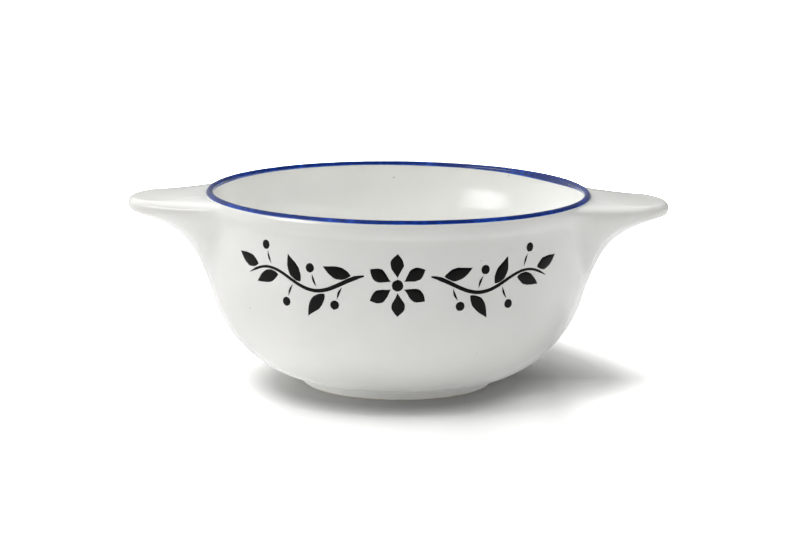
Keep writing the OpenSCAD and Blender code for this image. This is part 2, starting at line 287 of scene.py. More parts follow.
# %% [markdown]
# ## The bowl's section
# A thrown bowl is one line turned round an axis. The line is the same as in the CAD model,
# from the same few sizes, but in finer steps: a glossy white surface shows every corner in
# its reflections. The section is drawn in the clay, and the glaze lies beside it.

# %% Sizes of the bowl, in millimetres
bowl_d, bowl_h = 135, 68
lip_t, lip_flare, lip_rise, lip_round = 2.7, 1.1, 8.5, 3
wall_t, wall_swell = 4, 0.15
belly_h, belly_low, belly_side = 44, 6.6, 29
floor_d, floor_t, inside_low, inside_side = 60, 4.8, 12, 26
foot_d, foot_h, foot_flare, bare_h = 66.2, 3.3, 2.2, 0.4
ear_l, ear_w, ear_t, ear_dip, ear_drop, ear_set = 27, 60, 5, 1.5, 32, 0.3
glaze_t, line_out, line_in = 0.3, 1.15, 1.3
lip_out_share = 0.65  # of the lip's thickness, outside its crest

# the clay under its glaze
lip_r = bowl_d / 2 - glaze_t
crest_z = bowl_h - glaze_t
neck_r = lip_r - lip_flare
neck_z = bowl_h - lip_rise
wall_r = neck_r + wall_swell
lip_clay = lip_t - 2 * glaze_t
lip_out = lip_clay * lip_out_share
lip_in = lip_clay - lip_out
lip_drop = lip_round - glaze_t
wall_clay = wall_t - 2 * glaze_t
foot_r = foot_d / 2 - glaze_t
joint_r = foot_r + foot_flare
joint_z = foot_h + glaze_t
floor_z = joint_z + floor_t
coat_r = wall_r + glaze_t
print("wall radius", wall_r, "lip radius", lip_r)

# %% [markdown]
# ## Curves of the section
# Each stretch of the section is a Bezier curve that leaves and arrives level or upright, or a
# part of an ellipse, so the stretches meet without a corner. Outside and inside are two lines
# that meet on the crest of the lip. The glaze's lines run beside them, at its thickness.

# %% Curves
def bezier(a, b, c, d, t):
    """A point on a curve from a to d, with its handles at b and c."""
    return (1 - t) ** 3 * a + 3 * (1 - t) ** 2 * t * b + 3 * (1 - t) * t * t * c + t ** 3 * d


def curve(a, b, c, d, steps):
    """The curve's points after its first."""
    a, b, c, d = Vector(a), Vector(b), Vector(c), Vector(d)
    return [bezier(a, b, c, d, i / steps) for i in range(1, steps + 1)]


def upright(a, d, steps):
    """A curve that leaves and arrives upright."""
    middle = (a[1] + d[1]) / 2
    return curve(a, (a[0], middle), (d[0], middle), d, steps)


def arc(middle, across, up, start, end, steps):
    """An arc of an ellipse, in degrees, without its first point."""
    turns = [math.radians(start + (end - start) * i / steps) for i in range(1, steps + 1)]
    return [Vector((middle[0] + across * math.cos(a), middle[1] + up * math.sin(a)))
            for a in turns]


def beside(line, distance):
    """The line moved sideways, to the right of its run."""
    moved = []
    for i, p in enumerate(line):
        run = (line[min(i + 1, len(line) - 1)] - line[max(i - 1, 0)]).normalized()
        moved.append(p + distance * Vector((run.y, -run.x)))
    return moved


def across_at(line, z):
    """The line's radius at a height, where the line runs upwards."""
    k = bisect_left(line, z, key=lambda p: p.y)
    if k == 0 or k == len(line):
        return line[min(k, len(line) - 1)].x
    low, high = line[k - 1], line[k]
    return low.x + (high.x - low.x) * (z - low.y) / (high.y - low.y)


print("a curve of 5 steps:", len(upright((0, 0), (1, 1), 5)), "points after its first")

# %% Section
outside = ([Vector((joint_r, joint_z))]
           + curve((joint_r, joint_z), (joint_r + belly_low, joint_z),
                   (wall_r, belly_h - belly_side), (wall_r, belly_h), 90)
           + upright((wall_r, belly_h), (neck_r, neck_z), 30)
           + upright((neck_r, neck_z), (lip_r, crest_z - lip_drop), 24)
           + arc((lip_r - lip_out, crest_z - lip_drop), lip_out, lip_drop, 0, 90, 24))
inside = (outside[-1:]
          + arc((lip_r - lip_out, crest_z - lip_in), lip_in, lip_in, 90, 180, 10)
          + upright((lip_r - lip_clay, crest_z - lip_in), (wall_r - wall_clay, belly_h), 40)
          + curve((wall_r - wall_clay, belly_h), (wall_r - wall_clay, belly_h - inside_side),
                  (floor_d / 2 + inside_low, floor_z), (floor_d / 2, floor_z), 48))
coat_outside = beside(outside, glaze_t)
coat_inside = beside(inside, glaze_t)
coat_outside[-1] = coat_inside[0] = Vector((lip_r - lip_out, bowl_h))
print("coat from", [round(v, 2) for v in coat_outside[0]],
      "to", [round(v, 2) for v in coat_inside[-1]])

# %% [markdown]
# ## Uneven glaze
# A glaze is never as even as the clay that was turned under it. It runs a little and dries
# thicker here and thinner there, by less than a fifth of a millimetre. One function gives
# that unevenness at any point. The coat and everything painted on it ask the same function,
# so the paint stays on the glaze.

# %% Unevenness
sink_middle, sink_most = 0.08, 0.16
broad_wave, broad_part = 26, 0.09
close_wave, close_part = 9, 0.03


def sink(point):
    """How far the glaze lies under its full thickness at a point, in metres."""
    broad = noise.noise(point / (broad_wave * MM))
    close = noise.noise(point / (close_wave * MM) + Vector((5, 2, 7)))
    uneven = sink_middle + broad_part * broad + close_part * close
    return MM * max(0, min(sink_most, uneven))


print("sink at the front, mm:", round(sink(Vector((0, -coat_r * MM, 0.04))) / MM, 3))

# %% [markdown]
# ## The outer coat, with the ears
# On the real bowl the glaze runs over the wall and the ears in one skin, without a seam.
# Separate skins would show a joint, so the wall is spun as one surface, with rows to spare
# under the lip. Then the rows of each column are drawn out along the ear's own line at that
# place, as a folding fan is. That line has three stretches: the underside, which leaves the
# wall with the wall's own lean and swings out, the round nose, and the dished top.

# %% The ear's shape
ear_top = bowl_h - line_out - ear_set
ear_half_angle = math.degrees(math.asin(ear_w / 2 / wall_r))
swell_spread, swell_power = 1.12, 1.9
side_share, nose_share, rise_power = 1.1, 0.42, 0.5
under_in, under_fall, under_rise, under_out = 0.6, 0.18, 0.75, 0.03
least_run = 0.1


def swell(u):
    """How far out the ear reaches at a share u of its half width: 1 in the middle, 0 outside."""
    if abs(u) >= 1:
        return 0
    return math.cos(math.radians(90 * abs(u) ** swell_spread)) ** swell_power


def ear_line(b):
    """Three stretches of the ear's line: its underside from the wall out, its nose, its top."""
    rise = b ** rise_power
    edge = ear_t * (side_share + (1 - side_share) * rise)
    root = across_at(outside, ear_top) + glaze_t
    reach = root + (lip_r + glaze_t + ear_l - root) * b
    half = edge / 2
    nose_z = ear_top - ear_dip * rise - half
    nose_r = nose_share * edge
    low_z = ear_top - edge - ear_drop * rise
    top_start = Vector((root, ear_top))
    low_end = Vector((across_at(outside, low_z) + glaze_t, low_z))
    middle = Vector((max(reach - nose_r, top_start.x + least_run), nose_z))
    slope = math.atan2((middle.y - low_end.y) * under_fall,
                       max(middle.x - low_end.x, least_run) * under_in)
    low_start = middle + Vector(((reach - middle.x) * math.sin(slope), -half * math.cos(slope)))
    top_end = middle + Vector((0, half))
    run, fall = low_start.x - low_end.x, low_start.y - low_end.y
    lead = math.hypot(run * under_in, fall * under_fall)
    lean = (across_at(outside, low_z + half) - across_at(outside, low_z)) / half
    handle = fall * under_rise * Vector((lean + under_out, 1))
    under = [low_end] + curve(low_end, low_end + handle,
                              low_start - lead * Vector((math.cos(slope), math.sin(slope))),
                              low_start, 40)
    nose = [low_start] + arc(middle, reach - middle.x, half, math.degrees(slope) - 90, 90, 14)
    top_run = Vector(((top_end.x - top_start.x) / 3, 0))
    top = [top_end] + curve(top_end, top_end - top_run, top_start + top_run, top_start, 40)
    return under, nose, top


def spread(line, places):
    """Points at given shares of a line's length."""
    lengths = [0]
    for a, b in zip(line, line[1:]):
        lengths.append(lengths[-1] + (b - a).length)
    points, k = [], 0
    for share in places:
        want = share * lengths[-1]
        while k < len(lengths) - 2 and lengths[k + 1] < want:
            k += 1
        step = lengths[k + 1] - lengths[k]
        points.append(line[k].lerp(line[k + 1], (want - lengths[k]) / step if step > 0 else 0))
    return points


print("ear half angle", round(ear_half_angle, 1), "ear top", ear_top)

# %% [markdown]
# ## Rows of the coat
# A column of the coat runs from the foot to the crest of the lip. Every column has the same
# rows: a few on the foot's side, the wall, the ear's three stretches and the lip. Where there
# is no ear, the ear's rows lie on the wall. Beside the ear they pass smoothly from one to the
# other, in the last places where the ear hardly stands out.

# %% Rows of the coat
ear_fade = 0.006
foot_side = Vector((joint_r + glaze_t, joint_z - glaze_t))
foot_low = Vector((foot_r + foot_flare * bare_h / joint_z + glaze_t, bare_h / 2))
foot_rows = [foot_low.lerp(foot_side, share) for share in (0, 0.06, 0.2, 0.4, 0.6, 0.8, 0.93)]
low_places = [0.004] + [i / 54 for i in range(1, 54)]
under_places = [i / 26 for i in range(27)]
nose_places = [i / 12 for i in range(1, 13)]
top_places = [1 - (1 - i / 13) ** 1.6 for i in range(1, 14)]
lip_rows = [p for p in coat_outside if p.y > ear_top + 0.02][::2] + coat_outside[-1:]


def column(b):
    """One column of the coat, from the foot to the lip, where the ear swells to b."""
    under, nose, top = ear_line(b)
    low_z = under[0].y
    wall = [foot_side] + [p for p in coat_outside if foot_side.x < p.x and p.y < low_z]
    wall.append(under[0])
    drawn = spread(under, under_places) + spread(nose, nose_places) + spread(top, top_places)
    last = len(drawn) - 1
    share = min(1, b / ear_fade)
    share = share * share * (3 - 2 * share)
    rows = []
    for i, p in enumerate(drawn):
        z = low_z + (ear_top - low_z) * i / last
        on_wall = Vector((across_at(coat_outside, z), z))
        on_ear = Vector((max(p.x, across_at(coat_outside, p.y)), p.y))
        rows.append(on_wall.lerp(on_ear, share))
    return foot_rows + spread(wall, low_places) + rows + lip_rows


print("rows:", len(column(0)), len(column(1)))

# %% [markdown]
# ## Spinning the coat
# One column is spun about the bowl's axis with the spin operator, in narrow steps where the
# ears are and in wide ones between them. A piece is one skin, and a modifier gives it its
# thickness, inwards.

# %% Spinning the coat
vote_step = 97
weld = 0.002 * MM


def in_space(p, turn):
    """A point of a section, its radius and its height, put at an azimuth in radians."""
    return Vector((p.x * math.cos(turn), p.x * math.sin(turn), p.y))


def line_in_space(shape, points, angle):
    """A line of vertices and edges at an azimuth, made from a section in millimetres."""
    turn = math.radians(angle)
    row = shape.verts.layers.int.get("row") or shape.verts.layers.int.new("row")
    made = []
    for i, p in enumerate(points):
        vertex = shape.verts.new(MM * in_space(p, turn))
        vertex[row] = i
        made.append(vertex)
    edges = [shape.edges.new(pair) for pair in zip(made, made[1:])]
    return made + edges


def spin_on(shape, geometry, angle, steps):
    """Turns a line about the upright axis and returns the line at the end."""
    turned = bmesh.ops.spin(shape, geom=geometry, cent=(0, 0, 0), axis=(0, 0, 1),
                            angle=math.radians(angle), steps=steps, use_duplicate=False)
    return turned["geom_last"]


def turn_out(shape, way_out):
    """Turns the faces outwards, by a vote of some; way_out gives the way at a face's middle."""
    bmesh.ops.recalc_face_normals(shape, faces=shape.faces[:])
    shape.normal_update()
    votes = sum(1 if f.normal.dot(way_out(f.calc_center_median())) > 0 else -1
                for f in list(shape.faces)[::vote_step])
    if votes < 0:
        bmesh.ops.reverse_faces(shape, faces=shape.faces[:])
    shape.normal_update()


def make_piece(name, shape, node_names, thickness):
    """Turns a bmesh into a smooth piece that rides on the bowl and stands for CAD nodes."""
    mesh = bpy.data.meshes.new(name)
    for face in shape.faces:
        face.smooth = True
    shape.to_mesh(mesh)
    shape.free()
    piece = bpy.data.objects.new(name, mesh)
    bpy.context.scene.collection.objects.link(piece)
    wall = piece.modifiers.new("thickness", "SOLIDIFY")
    wall.thickness = thickness * MM
    wall.offset = -1
    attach(piece, "root")
    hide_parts(*node_names)
    print(name, "faces:", len(mesh.polygons))
    return piece


coat = bmesh.new()
edge_angle = ear_half_angle + 0.4
ear_steps, wall_steps = 92, 56
last = line_in_space(coat, column(0), -edge_angle)
for angle, steps in 2 * ((2 * edge_angle, ear_steps), (180 - 2 * edge_angle, wall_steps)):
    last = spin_on(coat, last, angle, steps)
bmesh.ops.remove_doubles(coat, verts=coat.verts[:], dist=weld)
print("coat vertices:", len(coat.verts), "open edges:", sum(e.is_boundary for e in coat.edges))

# %% [markdown]
# ## Drawing out the ears
# Each vertex knows its row, and its azimuth gives its column, so it can be put in its place on
# the ear's line. Three values are kept with it: how far across the ear it lies, how thin the
# glaze runs there, on the nose, and how near it lies to the corner over the ear, where the
# glaze's colour is made a trace darker and greener.

# %% Drawing out the ears
thin_rows, crease_tint_rows = 6, 2.5
row_layer = coat.verts.layers.int["row"]
across_layer = coat.verts.layers.float.new("across")
thin_layer = coat.verts.layers.float.new("thin")
crease_tint_layer = coat.verts.layers.float.new("crease_tint")
rows_below = len(foot_rows) + len(low_places)
nose_row = rows_below + len(under_places) + len(nose_places) / 2
crease_row = rows_below + len(under_places) + len(nose_places) + len(top_places) - 1
columns = {}
for vertex in coat.verts:
    azimuth = math.degrees(math.atan2(vertex.co.y, vertex.co.x))
    from_ear = azimuth if abs(azimuth) < 90 else azimuth - math.copysign(180, azimuth)
    vertex[across_layer] = abs(from_ear) / ear_half_angle
    b = round(swell(from_ear / ear_half_angle), 9)
    if b not in columns:
        columns[b] = column(b)
    vertex.co = MM * in_space(columns[b][vertex[row_layer]], math.radians(azimuth))
    near_nose = (vertex[row_layer] - nose_row) / thin_rows
    vertex[thin_layer] = math.exp(-near_nose * near_nose) * min(1, 4 * b)
    # near the corner over the ear, for a trace darker and greener colour
    near_crease = (vertex[row_layer] - crease_row) / crease_tint_rows
    vertex[crease_tint_layer] = math.exp(-near_crease * near_crease) * min(1, 8 * b)
turn_out(coat, lambda p: Vector((p.x, p.y, 0)))
print("columns worked out:", len(columns))

# %% [markdown]
# ## Soft creases and a ragged lower edge
# The potter draws the clay of an ear down into the wall with a thumb, so its sides melt into
# the wall without a line. Smoothing the vertices there does the same, in patches that grow
# smaller so that no patch leaves an edge. Wet glaze then gathers in the corner over the ear
# and fills it round. At the foot the glaze is wiped off, and its edge is left thin and wavy.

# %% Melting the ears into the wall
melt_rounds, melt_passes = 6, 24
melt_inner, melt_outer = 0.34, 1.5   # shares of the ear's half width
melt_below, melt_above = 22, 52      # rows, from the lowest row of the ear
all_axes = {"use_axis_x": True, "use_axis_y": True, "use_axis_z": True}
for inset in range(melt_rounds):
    patch = [v for v in coat.verts
             if melt_inner + 0.05 * inset < v[across_layer] < melt_outer - 0.06 * inset
             and -melt_below + 2 * inset < v[row_layer] - rows_below < melt_above - inset]
    for _ in range(melt_passes):
        bmesh.ops.smooth_vert(coat, verts=patch, factor=0.5, **all_axes)
        for vertex in patch:
            flat = math.hypot(vertex.co.x, vertex.co.y)
            wanted = MM * across_at(coat_outside, vertex.co.z / MM)
            if flat < wanted:
                vertex.co.x *= wanted / flat
                vertex.co.y *= wanted / flat
crease = [v for v in coat.verts if abs(v[row_layer] - crease_row) <= 2 and v[crease_tint_layer] > 0.2]
for _ in range(3):
    bmesh.ops.smooth_vert(coat, verts=crease, factor=0.4, **all_axes)
coat.normal_update()
print("vertices in the last patch:", len(patch), "in the crease:", len(crease))

# %% Unevenness and the lower edge
wiped_rows = 3
wiped_in, ragged_up, ragged_in = 0.16, 0.14, 0.05336
for vertex in coat.verts:
    vertex.co -= vertex.normal * sink(vertex.co)
for vertex in coat.verts:
    if vertex[row_layer] < wiped_rows:
        out = Vector((vertex.co.x, vertex.co.y, 0)).normalized()
        ragged = noise.noise(out * 9) + 0.5 * noise.noise(out * 31)
        share = 1 - vertex[row_layer] / wiped_rows
        vertex.co.z += MM * ragged_up * ragged * share
        vertex.co -= out * MM * (wiped_in * share * share - ragged_in * ragged * share)
coat_t = 0.22
outer_coat = make_piece("outer_coat", coat,
                        ["outer_glaze", "left_ear_glaze", "right_ear_glaze", "left_ear",
                         "right_ear"], coat_t)

# %% [markdown]
# ## The inner coat
# Inside, the glaze pools on the floor and covers the rings that the potter's finger left.
# The section from the top of the lip to the middle of the floor is spun in one turn. The
# rings are moved into the mesh, a few hundredths of a millimetre, where light would catch them.

# %% Inner coat
ring_apart, ring_deep = 6.5, 0.07
ring_top, ring_fade = 60, 12


def spin_round(points, steps):
    """A new shape, a section that is turned once round the upright axis."""
    shape = bmesh.new()
    bmesh.ops.spin(shape, geom=line_in_space(shape, points, 0), cent=(0, 0, 0),
                   axis=(0, 0, 1), angle=2 * math.pi, steps=steps, use_merge=True,
                   use_duplicate=False)
    return shape


inner_line = coat_inside + [Vector((floor_d / 2 * (1 - i / 14), floor_z + glaze_t))
                            for i in range(1, 15)]
inner = spin_round(inner_line, 216)
bmesh.ops.remove_doubles(inner, verts=inner.verts[:], dist=weld)
turn_out(inner, lambda p: Vector((-p.x, -p.y, 0.02)))  # towards the axis and up
for vertex in inner.verts:
    height = vertex.co.z / MM
    turn = math.atan2(vertex.co.y, vertex.co.x) / (2 * math.pi)
    ring = 0.5 - 0.5 * math.cos(2 * math.pi * (height / ring_apart + turn))
    strength = max(0, min(1, (ring_top - height) / ring_fade))
    vertex.co -= vertex.normal * (sink(vertex.co) + MM * ring_deep * ring * strength)
inner_coat = make_piece("inner_coat", inner, ["inner_glaze"], coat_t)

# %% [markdown]
# ## The blue line
# The line is drawn with a loaded brush while the bowl turns on the wheel. It lies over the
# lip, wider where the hand pressed, and its edges wander. A band is spun over the lip, and
# the rows of each column are spread between two edges that change with the azimuth. How far
# a vertex lies from the band's edges is kept as an attribute, for paler colour at the edges.

# %% Edges of the line
heavy_places = ((1.1, 32, 24), (0.5, 165, 20))  # how much wider, at which azimuth, how far


def hump(angle, middle, width):
    """A smooth rise of one around an azimuth, in degrees."""
    away = (angle - middle + 180) % 360 - 180
    return math.exp(-(away / width) ** 2)


def line_edges(angle):
    """How far the line comes down outside and inside at an azimuth, in millimetres."""
    out = Vector((math.cos(math.radians(angle)), math.sin(math.radians(angle)), 0))
    wander = noise.noise(out * 3.1) + 0.5 * noise.noise(out * 11) + 0.25 * noise.noise(out * 37)
    other = noise.noise(out * 2.7 + Vector((4, 4, 4))) + 0.25 * noise.noise(out * 9)
    down_out = line_out * (0.95 + 0.06 * wander)
    wide = sum(more * hump(angle, middle, width) for more, middle, width in heavy_places)
    down_in = line_in * (1.0 + 0.1 * other) + wide
    return down_out, down_in


outer_part, inner_part = coat_outside[-50:], coat_inside[1:40]
band_line = outer_part + inner_part
crest_at = len(outer_part) - 1
band_lengths = [0]
for a, b in zip(band_line, band_line[1:]):
    band_lengths.append(band_lengths[-1] + (b - a).length)


def share_at(depth, side):
    """Where the band's line has come down by a depth; side is -1 outside and 1 inside."""
    for k in range(crest_at, 0 if side < 0 else len(band_line) - 1, side):
        high, low = band_line[k].y, band_line[k + side].y
        if bowl_h - low >= depth:
            part = (depth - (bowl_h - high)) / (high - low) if high > low else 0
            come = band_lengths[k] + (band_lengths[k + side] - band_lengths[k]) * part
            return come / band_lengths[-1]
    return 0 if side < 0 else 1


print("at the front the line comes down", [round(v, 2) for v in line_edges(-90)], "mm")

# %% Blue line
band_rows, band_columns = 26, 540
line_proud, line_t = 0.09, 0.1
band = spin_round([Vector((lip_r + i * 0.01, bowl_h)) for i in range(band_rows)], band_columns)
row_layer = band.verts.layers.int["row"]
edge_layer = band.verts.layers.float.new("edge")
lifted = beside(band_line, line_proud)
widest = 0
for vertex in band.verts:
    turn = math.atan2(vertex.co.y, vertex.co.x)
    down_out, down_in = line_edges(math.degrees(turn))
    start, end = share_at(down_out, -1), share_at(down_in, 1)
    width = (end - start) * band_lengths[-1]
    widest = max(widest, width)
    across = vertex[row_layer] / (band_rows - 1)
    share = start + (end - start) * across
    low = spread(band_line, [share])[0]
    high = spread(lifted, [share])[0]
    full = math.sin(math.pi * across) ** 0.5 if 0 < across < 1 else 0
    point = MM * in_space(low.lerp(high, 0.1 + 0.9 * full), turn)
    vertex.co = point - in_space((high - low).normalized(), turn) * sink(point)
    vertex[edge_layer] = min(across, 1 - across) * width
turn_out(band, lambda p: Vector((0, 0, 1)))
blue_line = make_piece("blue_line", band, ["rim_line"], line_t)
print("line is up to", round(widest, 1), "mm wide")

# %% [markdown]
# ## The garland
# A brush stroke starts thin, swells where the hair is pressed down and ends in a point. Each
# stroke is a small grid: its length follows the stroke, its width is scaled by the pressure,
# and the whole is laid on the glaze by the same wrapping as in the CAD model. The colour
# stands up to a tenth of a millimetre proud in the middle of a stroke.

# %% Brush strokes
garland_l, garland_z, wave_h, stem_w = 112, 46.5, 6, 1.5
leaf_l, leaf_w, berry_d, stalk_l = 10, 4.2, 3.1, 4.4
petal_l, petal_w, eye_d, stroke_gap = 8, 4.4, 3.8, 0.6
waves, leaves_a_side, berries_a_side, petals = 3, 5, 4, 6
leaf_lean, stalk_lean = 38, 68
edge_lift, middle_lift, paint_t = 0.03, 0.07, 0.08
thinnest, shake_most = 0.03, 0.10


def on_the_wall(flat, lift):
    """A point of the flat drawing laid on the front of the glaze, lifted by a distance."""
    x = coat_r * math.sin(flat.x / coat_r)
    radius = across_at(coat_outside, flat.y)
    point = MM * Vector((x, -math.sqrt(radius * radius - x * x), flat.y))
    out = Vector((point.x, point.y, 0)).normalized()
    return point + out * (lift * MM - sink(point))


def brush(shape, middle_line, half_width, seed, steps=26, across=6):
    """One stroke; middle_line and half_width are functions of the share of its length."""
    made = bmesh.ops.create_grid(shape, x_segments=steps, y_segments=across, size=1)
    for vertex in made["verts"]:
        t, s = (vertex.co.x + 1) / 2, vertex.co.y
        ahead, behind = middle_line(min(1, t + 0.01)), middle_line(max(0, t - 0.01))
        run = (ahead - behind).normalized()
        grain = noise.noise(Vector((t * 5, seed * 3.7, math.copysign(1, s) * 2)))
        half = max(half_width(t), thinnest) * (1 + shake_most * grain)
        flat = middle_line(t) + half * s * Vector((-run.y, run.x))
        full = min(1, 6 * min(t, 1 - t) + 0.2)
        vertex.co = on_the_wall(flat, edge_lift + middle_lift * (1 - s * s) * full)


def straight(start, angle, length, bend=0):
    """A middle line from a point at an angle, bent aside by a share of its length."""
    way = Vector((math.cos(math.radians(angle)), math.sin(math.radians(angle))))
    side = Vector((-way.y, way.x))
    return lambda t: start + way * (length * t) + side * (bend * length * math.sin(math.pi * t))


def pressed(width, power):
    """The half width of a pointed stroke; the power puts its widest place."""
    return lambda t: width / 2 * math.sin(math.pi * min(1, max(0, t)) ** power)


def dot(shape, middle, diameter, seed):
    """A round blob of colour, which is one short and broad stroke."""
    brush(shape, straight(middle - Vector((diameter / 2, 0)), 0, diameter),
          lambda t: diameter / 2 * math.sqrt(max(0, 1 - (2 * t - 1) ** 2)), seed,
          steps=18, across=8)


def make_strokes(name, shape, node_name):
    """Turns the strokes to the front and makes a black piece of them."""
    turn_out(shape, lambda p: Vector((0, -1, 0)))
    return make_piece(name, shape, [node_name], paint_t)


print("strokes stand up to", edge_lift + middle_lift, "mm proud")

# %% [markdown]
# ## Stems, leaves, berries and flower
# Two stems leave the flower, one to each side, in a wave. Leaves grow from them on both sides
# in turn, and between the leaves, on the other side, a berry stands on a stalk. They are
# placed by their share of the stem's length, so the garland can be drawn longer or shorter.
# The flower in the middle has its petals round an eye.

# %% The stem's wave
stem_start = eye_d / 2 + 2 * stroke_gap + petal_l
stem_end = garland_l / 2


def stem_at(x):
    """The stem's height at a distance from the flower's middle."""
    return garland_z + wave_h / 2 * math.sin(2 * math.pi * waves * abs(x) / garland_l)


def stem_slope(x):
    """The stem's slope there, in degrees."""
    return math.degrees(math.atan((stem_at(x + 1) - stem_at(x - 1)) / 2))


def along(share):
    """The distance from the flower's middle at a share of the stem."""
    return stem_start + (stem_end - stem_start) * share


def stem_half(t):
    """The stem's half width: it starts blunt, thins to a half and ends in a point."""
    return stem_w / 2 * (1 - t / 2) * min(1, 0.35 + 9 * t, 0.2 + 12 * (1 - t))


print("stem from", stem_start, "to", stem_end, "mm")

# %% Leaves
leaf_shape = bmesh.new()
for side in (-1, 1):
    for i in range(leaves_a_side):
        up = 1 if i % 2 == 0 else -1
        x = along((i + 0.5) / leaves_a_side)
        lean = stem_slope(x) + up * leaf_lean
        start = Vector((side * x, stem_at(x) + up * (stem_w / 2 + stroke_gap)))
        angle = lean if side > 0 else 180 - lean
        brush(leaf_shape, straight(start, angle, leaf_l, -0.05 * up * side),
              pressed(leaf_w, 0.8), i + 10 * side)
leaf_strokes = make_strokes("leaf_strokes", leaf_shape, "garland_leaves")

# %% Stems, stalks and berries
berry_after = 0.33  # of the leaves' spacing, past a leaf
stem_shape = bmesh.new()
berry_shape = bmesh.new()
for side in (-1, 1):
    brush(stem_shape, lambda t: Vector((side * along(t), stem_at(along(t)))), stem_half, side,
          steps=120, across=4)
    for i in range(berries_a_side):
        up = -1 if i % 2 == 0 else 1
        x = along((i + 0.5 + berry_after) / leaves_a_side)
        root = Vector((side * x, stem_at(x) + up * (stem_w / 2 + stroke_gap)))
        lean = up * stalk_lean
        angle = lean if side > 0 else 180 - lean
        brush(stem_shape, straight(root, angle, stalk_l, 0.06 * up), pressed(stem_w / 2, 1), i,
              steps=12, across=4)
        berry_middle = straight(root, angle, stalk_l + stroke_gap + berry_d / 2)(1)
        dot(berry_shape, berry_middle, berry_d, i + 5 * side)
stem_strokes = make_strokes("stem_strokes", stem_shape, "garland_stem")
berry_dots = make_strokes("berry_dots", berry_shape, "garland_berries")

# %% Flower
flower_shape = bmesh.new()
middle = Vector((0, garland_z))
dot(flower_shape, middle, eye_d, 3)
for k in range(petals):
    angle = 90 + 360 * k / petals
    way = Vector((math.cos(math.radians(angle)), math.sin(math.radians(angle))))
    brush(flower_shape, straight(middle + way * (eye_d / 2 + stroke_gap), angle, petal_l, 0.03),
          pressed(petal_w, 1.25), k)
flower_strokes = make_strokes("flower_strokes", flower_shape, "garland_flower")

# %% [markdown]
# ## White tin glaze
# Tin oxide makes a clear lead glaze white and opaque. The melt levels itself, so it is
# glossy, with a faint ripple like the skin of an orange and a few specks of iron from the
# clay. It runs thin off the noses of the ears, where the warm clay glows through. In the
# corners over the ears it is made a trace darker, greener and cooler.

# %% Glaze material
glaze, tree, output = new_material("white tin glaze, glossy")
where = add_node(tree, "ShaderNodeTexCoord").outputs["Object"]
cloud = add_node(tree, "ShaderNodeTexNoise",
                 {"Vector": where, "Scale": 1 / (30 * MM), "Detail": 3.0,
                  "Roughness": 0.5})
tone = add_node(tree, "ShaderNodeValToRGB", {"Fac": cloud.outputs["Fac"]})
for stop, place, code in zip(tone.color_ramp.elements, (0.3, 0.7), ("f3f4f0", "f8f8f5")):
    stop.position, stop.color = place, linear(code)
thin = add_node(tree, "ShaderNodeAttribute", attribute_name="thin")
thin_part = add_node(tree, "ShaderNodeMath",
                     {0: thin.outputs["Fac"], 1: 0.1}, operation="MULTIPLY")
warm = add_node(tree, "ShaderNodeMix",
                {0: thin_part, 6: tone.outputs["Color"], 7: linear("e6dccb")},
                data_type="RGBA")
# a trace darker and greener near the corner over each ear
crease_tint = add_node(tree, "ShaderNodeAttribute", attribute_name="crease_tint")
crease_tint_part = add_node(tree, "ShaderNodeMath",
                     {0: crease_tint.outputs["Fac"], 1: 0.5}, operation="MULTIPLY")
cool = add_node(tree, "ShaderNodeMix",
                {0: crease_tint_part, 6: warm.outputs[2], 7: linear("dfe5e2")},
                data_type="RGBA")
speck = add_node(tree, "ShaderNodeTexVoronoi",
                 {"Vector": where, "Scale": 1 / (7 * MM)})
speck_size = add_node(tree, "ShaderNodeMapRange",
                      {"Value": speck.outputs["Distance"], "From Min": 0.03, "From Max": 0.055,
                       "To Min": 0.55, "To Max": 0.0})
speck_few = add_node(tree, "ShaderNodeSeparateColor", {0: speck.outputs["Color"]})
speck_rare = add_node(tree, "ShaderNodeMath", {0: speck_few, 1: 0.72},
                      operation="GREATER_THAN")
speck_part = add_node(tree, "ShaderNodeMath", {0: speck_size, 1: speck_rare},
                      operation="MULTIPLY")
speckled = add_node(tree, "ShaderNodeMix",
                    {0: speck_part, 6: cool.outputs[2], 7: linear("8d8574")},
                    data_type="RGBA")
ripple = add_node(tree, "ShaderNodeTexNoise",
                  {"Vector": where, "Scale": 1 / (3.2 * MM), "Detail": 2.0})
ripple_bump = add_node(tree, "ShaderNodeBump",
                       {"Height": ripple.outputs["Fac"], "Strength": 0.16, "Distance": 0.1 * MM})
gloss = add_node(tree, "ShaderNodeMapRange",
                 {"Value": cloud.outputs["Fac"], "From Min": 0.3, "From Max": 0.7,
                  "To Min": 0.09, "To Max": 0.14})
skin = add_node(tree, "ShaderNodeBsdfPrincipled",
                {"Base Color": speckled.outputs[2], "Roughness": gloss, "IOR": 1.52,
                 "Normal": ripple_bump, "Coat Weight": 0.25, "Coat Roughness": 0.06,
                 "Coat IOR": 1.5})
tree.links.new(skin.outputs[0], output.inputs["Surface"])
for piece in (outer_coat, inner_coat):
    piece.data.materials.append(glaze)
print(glaze.name, "has", len(tree.nodes), "nodes")

# %% [markdown]
# ## Cobalt blue, brushed
# Cobalt is ground with water and laid on the raw glaze, and it melts into it. Where the brush
# left much it is a deep blue, and where it ran thin, at the edges and between the hairs, it
# is bright. A fine noise gives the marks of the hairs, and a broad one makes some stretches
# of the line darker than others.

